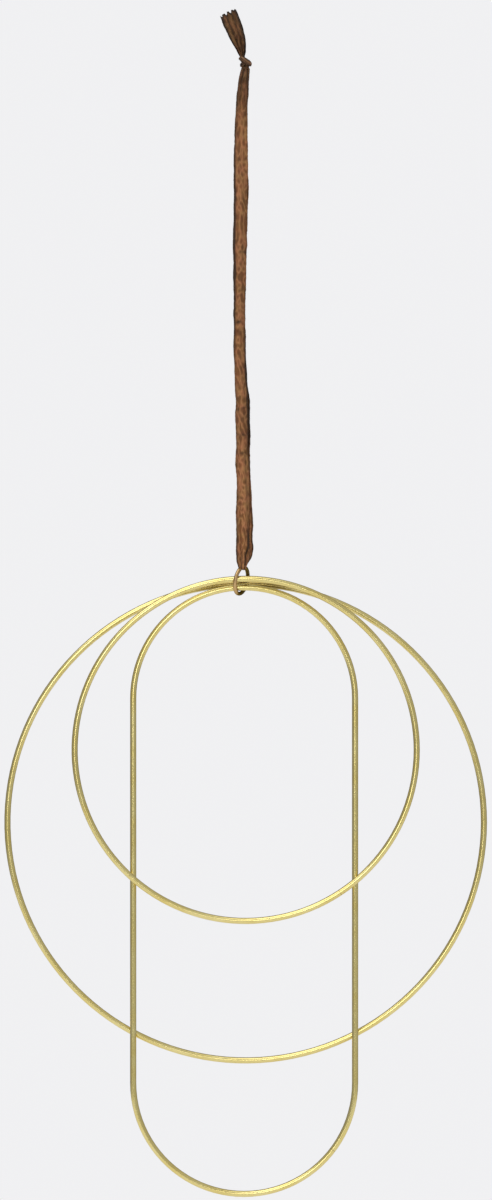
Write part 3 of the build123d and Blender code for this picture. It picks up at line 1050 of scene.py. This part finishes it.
# the two tails: the ribbon's cut ends, bunched at the knot and fanned out above it
tails = {
    "columns": 61,
    "rows": 56,
    "length": 25.0,
    "alongFrom": {1: 180.0, -1: 60.0},      # where on the cloth's pattern the front and the back one start
    "uneven": 0.4,
    "pleatShift": 0.9,
    "pleatWaver": (0.8, 1.7, 5.0, 2.2),
    "pleatShade": (0.5, 1.5),  # painted shade: how dark a pleat is, and the power that this falls off by
    "spread": 0.2,             # pleated cloth is drawn this much wider, as its margins turn in
    "spreadFull": 0.4,         # and is so from where it's this much gathered
    "cutAt": 0.965,            # the share of the height where the cut runs
    # painted shade darkens the cloth towards the cut from this share of the height
    "cutShadeFrom": 0.93,
    # the share of the height, then the left and the right margin: across, up
    "frontEdges": [
        (0.00, -2.5, 6.0, -1.2, 6.0),
        (0.06, -3.1, 7.2, -1.0, 7.5),
        (0.15, -4.2, 9.3, -0.6, 9.8),
        (0.28, -5.9, 12.4, -0.7, 13.0),
        (0.48, -8.2, 16.9, -1.5, 17.6),
        (0.72, -10.8, 22.0, -3.0, 23.6),
        (0.94, -13.0, 26.9, -5.3, 30.1),
        (1.00, -13.6, 28.2, -6.1, 31.9),
    ],
    "backEdges": [
        (0.00, -2.4, 6.0, -1.0, 6.0),
        (0.06, -2.9, 7.2, -0.6, 7.5),
        (0.15, -3.9, 9.5, -0.2, 9.8),
        (0.28, -5.4, 12.6, -0.2, 13.0),
        (0.48, -7.5, 17.2, -0.9, 17.8),
        (0.72, -10.0, 22.6, -2.4, 24.0),
        (0.94, -12.0, 27.5, -4.9, 30.6),
        (1.00, -12.6, 28.9, -5.7, 32.3),
    ],
    # the share of the height: cup, how gathered, pleats, their depth, place forward
    "shape": [
        (0.00, 0.2, 1.0, 4.0, 0.26, 0.35),
        (0.10, 0.3, 1.0, 4.0, 0.36, 0.45),
        (0.25, 0.5, 0.8, 3.7, 0.42, 0.55),
        (0.50, 0.6, 0.3, 3.3, 0.36, 0.75),
        (0.80, 0.4, 0.1, 3.0, 0.28, 1.15),
        (1.00, 0.3, 0.0, 2.8, 0.22, 1.55),
    ],
    # the cut: place over the width, how far it stands out or is nicked in
    "teeth": [
        (-1.0, 0.2), (-0.66, -1.0), (-0.53, 0.5), (-0.14, -0.9), (0.0, 0.7),
        (0.36, -0.7), (0.50, 0.6), (0.78, -0.1), (1.0, 0.4),
    ],
}


def straightRows(rows):
    def read(place):
        for a, b in zip(rows, rows[1:]):
            if place <= b[0]:
                t = max(0.0, (place - a[0]) / (b[0] - a[0]))
                return a[1] + (b[1] - a[1]) * t
        return rows[-1][1]
    return read


def makeTail(name, edges, side):
    # side is 1 for the front tail, -1 for the back one
    readEdges = smoothRows(edges)
    readShape = smoothRows(tails["shape"])
    tooth = straightRows(tails["teeth"])
    length = tails["length"]
    pleatShade, pleatPower = tails["pleatShade"]
    rows = []
    for r in range(tails["rows"] + 1):
        row = []
        rowShare = r / tails["rows"]
        cutShade = max(0.0, (rowShare - tails["cutShadeFrom"]) / (1 - tails["cutShadeFrom"]))
        for share in sharesOver(tails["columns"]):
            up = rowShare * (tails["cutAt"] + tooth(share * side) / length)
            leftX, leftZ, rightX, rightZ = readEdges(up)
            cup, gathered, pleats, depth, forward = readShape(up)
            left, right = Vector((leftX, 0, leftZ)), Vector((rightX, 0, rightZ))
            chord = (right - left).length * (1 + tails["spread"] * min(1.0, gathered / tails["spreadFull"]))
            drift = side * tails["pleatShift"] + waver(tails["pleatWaver"], up, side)
            lean = side * tails["uneven"]
            a, f, p, paintedShade = crossFold(share, chord, cup, gathered, pleats, depth, lean, drift)
            # painted shade in the pleats and towards the cut
            paintedShade = max(paintedShade, pleatShade * max(0.0, -p / depth) ** pleatPower, cutShade)
            place = (left + right) / 2 + (right - left).normalized() * a
            place.y = -side * (forward + f + p)
            row.append([place, share, up * length + tails["alongFrom"][side], paintedShade])
        rows.append(row)
    return sheetObject(name, crumple(rows), ribbon["thickness"])


frontTail = makeTail("frontTail", tails["frontEdges"], 1)
backTail = makeTail("backTail", tails["backEdges"], -1)
print("tails cut")


# the cloth: crushed, silky, bronze brown
cloth = {
    "crestHighlight": (0.60, 0.285, 0.125),
    "light": (0.256, 0.101, 0.032),
    "mid": (0.158, 0.061, 0.019),
    "deep": (0.022, 0.009, 0.003),
    "crestHighlightShare": 0.60,
    "deepShare": 0.93,         # painted shade: how dark it gets deep in a fold
    "deepStops": [(0.05, 0.0), (0.80, 1.0)],
    "patchStops": [(0.30, 0.0), (0.70, 1.0)],
    "weavePitch": 0.14,
    "weaveShade": 0.18,
    "weaveBump": (0.6, 0.030), # its strength and its depth
    # the crushed pattern's noise: how often to the millimetre, its detail and its roughness
    "crushRidges": (0.42, 1.0, 0.4),
    "crushPatches": (0.32, 2.0, 0.5),
    "crushStretch": 0.42,      # how often it comes along the cloth for once across it
    "crushSharp": 7.0,
    "crushBump": (0.8, 0.11),
    "smooth": 0.42,
    "rough": 0.66,
    "gloss": 0.28,
    "sheen": 0.12,
    "sheenRough": 0.4,
    "sheenTint": (0.75, 0.5, 0.3),
    "dyeOften": 0.21,          # how often to the millimetre the dye wavers between these two
    "dye": [(0.35, (0.98, 1.05, 0.90)), (0.62, (1.07, 0.95, 0.97))],
}
# each cloth's tint, a painted shade on the knot and the tails (the knot's also less red), and its painted
# shade
# and light over the metres of the piece: dark by the knot, lightest low down; on the tails' strip the back
# one is read first, then the front one
clothShading = {
    "ribbonCloth": ((1.0, 1.0, 1.0), [
        (0.0, 0.40), (0.014, 0.55), (0.032, 0.98), (0.10, 0.98), (0.19, 0.95), (0.215, 1.12), (0.25, 1.08),
        (0.52, 0.6),
    ]),
    "knotCloth": ((0.60, 0.70, 0.78), [(0.0, 1.0), (1.0, 1.0)]),
    "tailCloth": ((0.64, 0.66, 0.62), [(0.06, 0.50), (0.085, 0.72), (0.18, 0.55), (0.205, 0.82)]),
}


def makeWeaveGroup():
    # a fine plain weave: threads over and under in two directions
    group, given, made = newGroup("plainWeave", {"Across": 0.0, "Along": 0.0, "Pitch": 0.14}, ["Height"])
    turns = mathNode(group, "DIVIDE", math.pi, given["Pitch"])
    warp = mathNode(group, "SINE", mathNode(group, "MULTIPLY", given["Across"], turns))
    weft = mathNode(group, "SINE", mathNode(group, "MULTIPLY", given["Along"], turns))
    crossing = mathNode(group, "ABSOLUTE", mathNode(group, "MULTIPLY", warp, weft))
    fillInputs(group, made, {"Height": crossing})
    return group


def makeCrushGroup():
    # the crushed pattern: ridges, which get a painted highlight, and dark dents, longer along the cloth than
    # across it
    inputs = {"Across": 0.0, "Along": 0.0, "Size": 1.0}
    group, given, made = newGroup("crushTone", inputs, ["Ridges", "Patches"])
    stretched = mathNode(group, "MULTIPLY", given["Along"], cloth["crushStretch"])
    place = joinNode(group, given["Across"], stretched)
    scaled = vectorNode(group, "SCALE", place, Scale=given["Size"])
    fine = noiseNode(group, scaled, *cloth["crushRidges"])
    off = mathNode(group, "ABSOLUTE", mathNode(group, "SUBTRACT", fine, 0.5))
    fall = mathNode(group, "MULTIPLY", off, cloth["crushSharp"])
    ridges = mathNode(group, "SUBTRACT", 1.0, fall, clamp=True)
    fillInputs(group, made, {"Ridges": ridges, "Patches": noiseNode(group, scaled, *cloth["crushPatches"])})
    return group


weaveGroup = makeWeaveGroup()
crushGroup = makeCrushGroup()


def clothMaterial(name, tint, shadingAlong):
    material = bpy.data.materials.new(name)
    tree = newTree(material)
    clothMap = splitNode(tree, addNode(tree, "ShaderNodeUVMap", uv_map="clothMap").outputs[0])
    across = mathNode(tree, "MULTIPLY", clothMap["X"], ribbon["flatWidth"])
    along = mathNode(tree, "MULTIPLY", clothMap["Y"], 1 / mm)
    paintedShade = addNode(tree, "ShaderNodeAttribute", attribute_name="paintedShade").outputs["Fac"]
    weave = placeGroup(tree, weaveGroup, {"Across": across, "Along": along, "Pitch": cloth["weavePitch"]})
    crush = placeGroup(tree, crushGroup, {"Across": across, "Along": along, "Size": 1.0})
    patches = rampNode(tree, crush.outputs["Patches"], cloth["patchStops"])
    colour = mixColour(tree, patches, cloth["mid"], cloth["light"])
    # painted highlight: a light colour laid along the crushed pattern's ridges
    colour = layOver(tree, colour, crush.outputs["Ridges"], cloth["crestHighlightShare"], cloth["crestHighlight"])
    dye = rampNode(tree, noiseNode(tree, joinNode(tree, across, along), cloth["dyeOften"]), cloth["dye"])
    colour = mixColour(tree, 1.0, colour, dye, "MULTIPLY")
    # painted shade: the deep colour laid over folds, pleats, creases, curled margins, dents and the knot's
    # grooves, as the mesh's painted shade says
    margins = rampNode(tree, paintedShade, cloth["deepStops"])
    colour = layOver(tree, colour, margins, cloth["deepShare"], cloth["deep"])
    # painted shade in the weave's dips
    dips = mathNode(tree, "SUBTRACT", 1.0, weave.outputs["Height"])
    colour = layOver(tree, colour, dips, cloth["weaveShade"], cloth["deep"])
    # painted shade and light along the piece, then its tint
    colour = mixColour(tree, 1.0, colour, rampNode(tree, clothMap["Y"], shadingAlong), "MULTIPLY")
    colour = mixColour(tree, 1.0, colour, tint, "MULTIPLY")
    rough = mathNode(
        tree, "MULTIPLY_ADD", crush.outputs["Patches"], cloth["rough"] - cloth["smooth"], cloth["smooth"]
    )
    weaveBump = bumpNode(tree, *cloth["weaveBump"], Height=weave.outputs["Height"])
    addSurface(tree, {
        "Base Color": colour,
        "Roughness": rough,
        "Specular IOR Level": cloth["gloss"],
        "Sheen Weight": cloth["sheen"],
        "Sheen Roughness": cloth["sheenRough"],
        "Sheen Tint": cloth["sheenTint"],
        "Normal": bumpNode(tree, *cloth["crushBump"], Height=crush.outputs["Ridges"], Normal=weaveBump),
    })
    return material


wornBy = {"ribbonCloth": [ribbonLoop], "knotCloth": [ribbonKnot], "tailCloth": [frontTail, backTail]}
for clothName, pieces in wornBy.items():
    material = clothMaterial(clothName, *clothShading[clothName])
    for piece in pieces:
        piece.data.materials.append(material)

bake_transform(ribbonLoop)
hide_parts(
    "ribbon_front_bow", "ribbon_back_bow", "ribbon_front_leg", "ribbon_back_leg", "ribbon_bight"
)
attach(ribbonKnot, "ribbon")
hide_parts("ribbon_knot")
for tail, node in ((frontTail, "ribbon_front_tail"), (backTail, "ribbon_back_tail")):
    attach(tail, "ribbon")
    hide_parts(node)
print("ribbon dressed")
